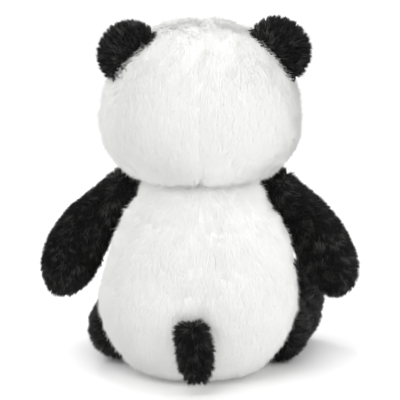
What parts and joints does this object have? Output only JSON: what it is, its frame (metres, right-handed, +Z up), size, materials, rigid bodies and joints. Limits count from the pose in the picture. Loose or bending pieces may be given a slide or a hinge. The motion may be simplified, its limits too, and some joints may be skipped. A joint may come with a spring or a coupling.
{
  "type": "plush panda",
  "caption": "Sitting plush panda with a long-pile white head and body, black ears, arms, legs and tail, sewn from panels over soft stuffing, with limbs that flop at their seams.",
  "frame": {"origin": "centre of the seat's flat underside, on the floor", "axes": "+Z up, the face looks along -Y, and +X is towards the toy's own left arm"},
  "size_m": [0.3087, 0.2488, 0.3418],
  "materials": {
    "white_pile_fabric": "long soft pile",
    "black_pile_fabric": "short dense pile",
    "fibre_filling": "loose polyester fibre",
    "cotton_canvas": "plain weave",
    "white_thread": "twisted thread",
    "black_thread": "twisted thread",
    "black_gloss_plastic": "polished",
    "washer_plastic": "moulded"
  },
  "bodies": {
    "torso": {"torso_back_left": "white_pile_fabric", "torso_back_right": "white_pile_fabric", "torso_belly": "white_pile_fabric", "seat_panel": "white_pile_fabric", "torso_stuffing": "fibre_filling", "pellet_bag": "cotton_canvas"},
    "neck": {"neck_thread": "white_thread"},
    "head": {"head_back_left": "white_pile_fabric", "head_back_right": "white_pile_fabric", "face_left": "white_pile_fabric", "face_right": "white_pile_fabric", "head_stuffing": "fibre_filling", "eye_patch_left": "black_pile_fabric", "eye_patch_right": "black_pile_fabric", "eye_left": "black_gloss_plastic", "eye_right": "black_gloss_plastic", "eye_washer_left": "washer_plastic", "eye_washer_right": "washer_plastic", "muzzle_panel": "white_pile_fabric", "muzzle_stuffing": "fibre_filling", "nose": "black_gloss_plastic", "nose_washer": "washer_plastic", "mouth_thread": "black_thread"},
    "tail": {"tail_left": "black_pile_fabric", "tail_right": "black_pile_fabric", "tail_stuffing": "fibre_filling"},
    "left_ear": {"left_ear_back": "black_pile_fabric", "left_ear_front": "black_pile_fabric", "left_ear_stuffing": "fibre_filling"},
    "left_shoulder": {"left_shoulder_thread": "black_thread"},
    "left_arm": {"left_arm_back": "black_pile_fabric", "left_arm_front": "black_pile_fabric", "left_arm_stuffing": "fibre_filling"},
    "left_hip": {"left_hip_thread": "black_thread"},
    "left_leg": {"left_leg_top": "black_pile_fabric", "left_leg_bottom": "black_pile_fabric", "left_leg_stuffing": "fibre_filling", "left_sole": "black_pile_fabric"},
    "right_ear": {"right_ear_back": "black_pile_fabric", "right_ear_front": "black_pile_fabric", "right_ear_stuffing": "fibre_filling"},
    "right_shoulder": {"right_shoulder_thread": "black_thread"},
    "right_arm": {"right_arm_back": "black_pile_fabric", "right_arm_front": "black_pile_fabric", "right_arm_stuffing": "fibre_filling"},
    "right_hip": {"right_hip_thread": "black_thread"},
    "right_leg": {"right_leg_top": "black_pile_fabric", "right_leg_bottom": "black_pile_fabric", "right_leg_stuffing": "fibre_filling", "right_sole": "black_pile_fabric"}
  },
  "joints": [
    {"name": "head_turn", "type": "hinge", "parent": "torso", "child": "neck", "pos_m": [0, 0, 0.206], "axis": [0, 0, 1], "range_deg": [-35, 35]},
    {"name": "head_nod", "type": "hinge", "parent": "neck", "child": "head", "pos_m": [0, 0, 0.206], "axis": [1, 0, 0], "range_deg": [-11, 8]},
    {"name": "left_ear_fold", "type": "hinge", "parent": "head", "child": "left_ear", "pos_m": [0.063, 0.022, 0.305], "axis": [0.6691, 0, -0.7431], "range_deg": [-18, 12]},
    {"name": "left_arm_swing", "type": "hinge", "parent": "torso", "child": "left_shoulder", "pos_m": [0.068, -0.03, 0.174], "axis": [-1, 0, 0], "range_deg": [-15, 60]},
    {"name": "left_arm_lift", "type": "hinge", "parent": "left_shoulder", "child": "left_arm", "pos_m": [0.068, -0.03, 0.174], "axis": [0, -1, 0], "range_deg": [0, 40]},
    {"name": "left_leg_raise", "type": "hinge", "parent": "torso", "child": "left_hip", "pos_m": [0.076, -0.043, 0.0335], "axis": [-1, 0, 0], "range_deg": [-10, 5]},
    {"name": "left_leg_splay", "type": "hinge", "parent": "left_hip", "child": "left_leg", "pos_m": [0.076, -0.043, 0.0335], "axis": [0, 0, 1], "range_deg": [-2, 24]},
    {"name": "right_ear_fold", "type": "hinge", "parent": "head", "child": "right_ear", "pos_m": [-0.067, 0.015, 0.3065], "axis": [0.6691, 0, 0.7431], "range_deg": [-18, 12]},
    {"name": "right_arm_swing", "type": "hinge", "parent": "torso", "child": "right_shoulder", "pos_m": [-0.068, -0.03, 0.174], "axis": [-1, 0, 0], "range_deg": [-15, 60]},
    {"name": "right_arm_lift", "type": "hinge", "parent": "right_shoulder", "child": "right_arm", "pos_m": [-0.068, -0.03, 0.174], "axis": [0, 1, 0], "range_deg": [0, 40]},
    {"name": "right_leg_raise", "type": "hinge", "parent": "torso", "child": "right_hip", "pos_m": [-0.076, -0.043, 0.0335], "axis": [-1, 0, 0], "range_deg": [-10, 13]},
    {"name": "right_leg_splay", "type": "hinge", "parent": "right_hip", "child": "right_leg", "pos_m": [-0.076, -0.043, 0.0335], "axis": [0, 0, -1], "range_deg": [-5, 18]},
    {"name": "tail_lift", "type": "hinge", "parent": "torso", "child": "tail", "pos_m": [0.008, 0.085, 0.06], "axis": [0.9925, -0.0085, -0.1216], "range_deg": [0, 60]}
  ]
}
